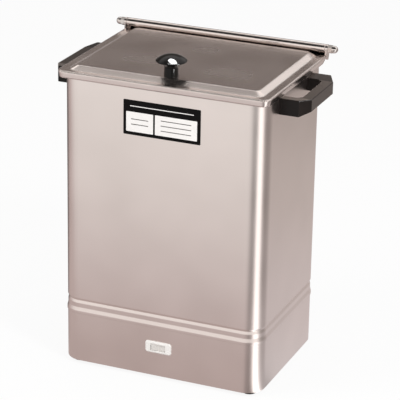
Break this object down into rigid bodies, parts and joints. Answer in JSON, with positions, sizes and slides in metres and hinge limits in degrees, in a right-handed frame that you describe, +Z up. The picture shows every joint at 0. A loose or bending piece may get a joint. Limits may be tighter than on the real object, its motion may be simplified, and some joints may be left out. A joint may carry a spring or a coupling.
{
  "type": "hot pack heater",
  "caption": "Tall stainless hot pack heater: insulated water tank on a base skirt with a hinged lid, knob, side handles, rocker switch, immersed element and lift-out wire rack.",
  "frame": {"origin": "on the surface the heater stands on, under the middle of the body", "axes": "+Z up, -Y the front with the switch, +Y the hinge side, carrying handles at -X and +X"},
  "size_m": [0.355, 0.2224, 0.4447],
  "materials": {
    "stainless_body": "satin",
    "stainless_lid": "satin",
    "stainless_tank": "satin",
    "stainless_wire": "polished",
    "bracket_steel": "satin",
    "polished_fasteners": "polished",
    "plated_screws": "bright",
    "black_phenolic": "gloss",
    "insulation": "matte",
    "white_moulding": "gloss",
    "rocker_moulding": "gloss",
    "contact_brass": "bright",
    "plated_plate": "matte",
    "foot_rubber": "matte",
    "thermostat_case": "matte",
    "spindle_steel": "bright",
    "terminal_moulding": "matte",
    "element_sheath": "satin",
    "bulb_copper": "satin",
    "lead_insulation": "satin",
    "lead_insulation_earth": "satin"
  },
  "bodies": {
    "cabinet": {"acorn_nuts": "polished_fasteners", "base_plate": "plated_plate", "base_screws": "plated_screws", "base_skirt": "stainless_body", "bulb_straps": "spindle_steel", "capillary": "bulb_copper", "capillary_gland": "contact_brass", "cord_inlet": "foot_rubber", "element_fittings": "contact_brass", "element_gaskets": "foot_rubber", "element_nuts": "contact_brass", "element_pins": "spindle_steel", "foot_screws": "plated_screws", "gland_nut": "contact_brass", "handle_left": "black_phenolic", "handle_right": "black_phenolic", "handle_screws": "plated_screws", "heating_element": "element_sheath", "hinge_bracket": "bracket_steel", "hinge_rod": "polished_fasteners", "hinge_washers": "polished_fasteners", "inner_tank": "stainless_tank", "insulation_wrap": "insulation", "lead_cutout_to_element": "lead_insulation", "lead_earth": "lead_insulation_earth", "lead_element_to_terminal": "lead_insulation", "lead_switch_to_thermostat": "lead_insulation", "lead_terminal_to_switch": "lead_insulation", "lead_thermostat_to_cutout": "lead_insulation", "limit_cutout": "thermostat_case", "outer_shell": "stainless_body", "rubber_feet": "foot_rubber", "sensing_bulb": "bulb_copper", "switch_blades": "contact_brass", "switch_housing": "white_moulding", "terminal_block": "terminal_moulding", "terminal_screws": "plated_screws", "thermostat_body": "thermostat_case"},
    "lid": {"lid": "stainless_lid", "lid_knob": "black_phenolic", "knob_washer": "plated_screws", "knob_screw": "plated_screws"},
    "rack": {"rack_loops": "stainless_wire", "rack_floor": "stainless_wire", "rack_ties": "stainless_wire"},
    "rocker": {"switch_rocker": "rocker_moulding"},
    "spindle": {"thermostat_spindle": "spindle_steel"}
  },
  "joints": [
    {"name": "lid_hinge", "type": "hinge", "parent": "cabinet", "child": "lid", "pos_m": [0, 0.1054, 0.419], "axis": [-1, 0, 0], "range_deg": [0, 105]},
    {"name": "rack_lift", "type": "slide", "parent": "cabinet", "child": "rack", "axis": [0, 0, 1], "range_m": [0, 0.022]},
    {"name": "switch_rock", "type": "hinge", "parent": "cabinet", "child": "rocker", "pos_m": [0, -0.104, 0.047], "axis": [0, 0, -1], "range_deg": [0, 12]},
    {"name": "thermostat_turn", "type": "hinge", "parent": "cabinet", "child": "spindle", "pos_m": [0.06, 0, 0.008], "axis": [0, 0, 1], "range_deg": [0, 270]}
  ]
}
